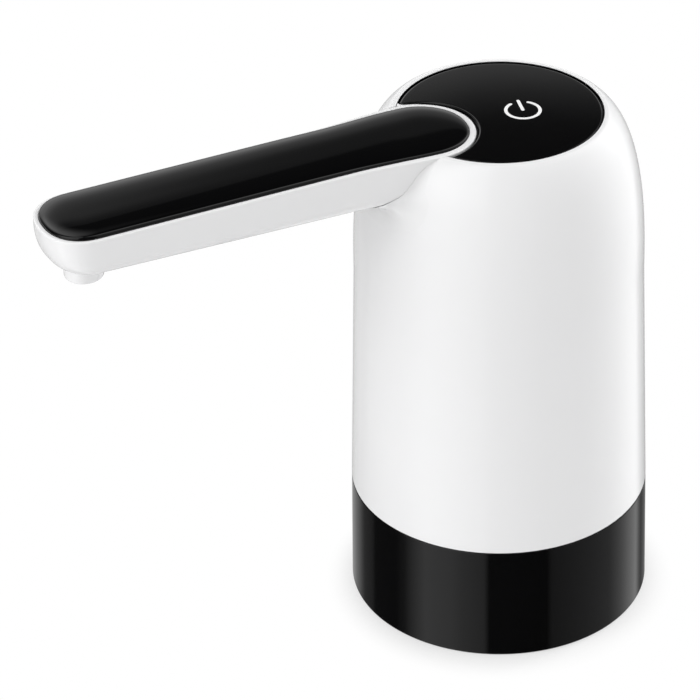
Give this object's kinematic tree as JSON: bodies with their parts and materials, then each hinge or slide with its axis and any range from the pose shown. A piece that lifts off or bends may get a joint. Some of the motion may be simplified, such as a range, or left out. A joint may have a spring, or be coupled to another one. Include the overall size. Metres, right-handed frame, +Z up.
{
  "type": "electric water jug pump",
  "caption": "Round countertop dispensing pump that sits over a bottle neck, with a flat spout arm and one large power key.",
  "frame": {"origin": "middle of the flat face inside the collar that rests on the mouth of the bottle neck", "axes": "+Z up along the body axis, away from the bottle; the spout arm points along -X; Y runs across the arm"},
  "size_m": [0.1522, 0.0738, 0.1328],
  "materials": {
    "white_shell": "gloss white ABS",
    "black_collar": "piano black ABS",
    "black_cover": "piano black ABS",
    "black_key": "piano black ABS",
    "symbol_white": "translucent white polycarbonate",
    "chassis_grey": "moulded grey ABS",
    "dark_plastic": "moulded dark nylon",
    "white_plastic": "moulded white acetal",
    "silicone": "translucent food silicone",
    "foam": "closed cell foam rubber",
    "bright_steel": "nickel plated steel",
    "core_steel": "stamped steel",
    "copper": "enamelled copper",
    "bush_brass": "sintered bronze",
    "magnet": "ferrite",
    "cell_wrap": "PVC sleeve",
    "board": "solder mask",
    "lamp": "clear epoxy",
    "red_lead": "PVC insulation",
    "black_lead": "PVC insulation"
  },
  "bodies": {
    "housing": {"base_collar": "black_collar", "battery_cell": "cell_wrap", "battery_cradle": "dark_plastic", "board_screw_1": "bright_steel", "board_screw_2": "bright_steel", "brush_1": "copper", "brush_2": "copper", "charging_board": "board", "chassis": "chassis_grey", "chassis_screw_1": "bright_steel", "chassis_screw_2": "bright_steel", "chassis_screw_3": "bright_steel", "check_valve": "silicone", "control_board": "board", "crankcase": "dark_plastic", "diaphragm": "silicone", "flow_straightener": "chassis_grey", "indicator_lamp": "lamp", "inlet_nipple": "white_plastic", "inlet_seal": "silicone", "main_housing": "white_shell", "motor_bush_lower": "bush_brass", "motor_bush_upper": "bush_brass", "motor_can": "bright_steel", "motor_damper_sleeve": "foam", "motor_end_bell": "dark_plastic", "motor_lead_black": "black_lead", "motor_lead_red": "red_lead", "motor_magnet_1": "magnet", "motor_magnet_2": "magnet", "neck_grip_ring": "silicone", "nozzle": "white_shell", "outlet_hose": "silicone", "pump_head": "dark_plastic", "pump_screw_1": "bright_steel", "pump_screw_2": "bright_steel", "pump_screw_3": "bright_steel", "spout_cover": "black_cover", "spout_screw_1": "bright_steel", "spout_screw_2": "bright_steel", "spout_seal": "silicone", "spout_shell": "white_shell", "spout_tube": "silicone", "supply_lead_black": "black_lead", "supply_lead_red": "red_lead", "tact_switch": "dark_plastic", "usb_socket": "bright_steel", "valve_plate": "white_plastic"},
    "key": {"power_key": "black_key", "symbol_light_guide": "symbol_white", "switch_plunger": "white_plastic"},
    "rotor": {"eccentric_hub": "white_plastic", "crank_pin": "bright_steel", "motor_shaft": "bright_steel", "rotor_core": "core_steel", "rotor_coil_1": "copper", "rotor_coil_2": "copper", "rotor_coil_3": "copper", "commutator": "copper"},
    "wobble": {"wobble_plate": "chassis_grey"}
  },
  "joints": [
    {"name": "key_press", "type": "slide", "parent": "housing", "child": "key", "axis": [0, 0, -1], "range_m": [0, 0.0006], "stiffness_N_per_m": 800, "springref_m": -0.0005},
    {"name": "rotor_spin", "type": "hinge", "parent": "housing", "child": "rotor", "pos_m": [-0.012, 0, 0.0205], "axis": [0, 0, 1], "continuous": true},
    {"name": "wobble_turn", "type": "hinge", "parent": "rotor", "child": "wobble", "pos_m": [-0.012, 0, 0.0205], "axis": [0.1392, 0, 0.9903], "continuous": true}
  ],
  "couplings": [
    {"joint": "wobble_turn", "follows": "rotor_spin", "ratio": -1}
  ]
}
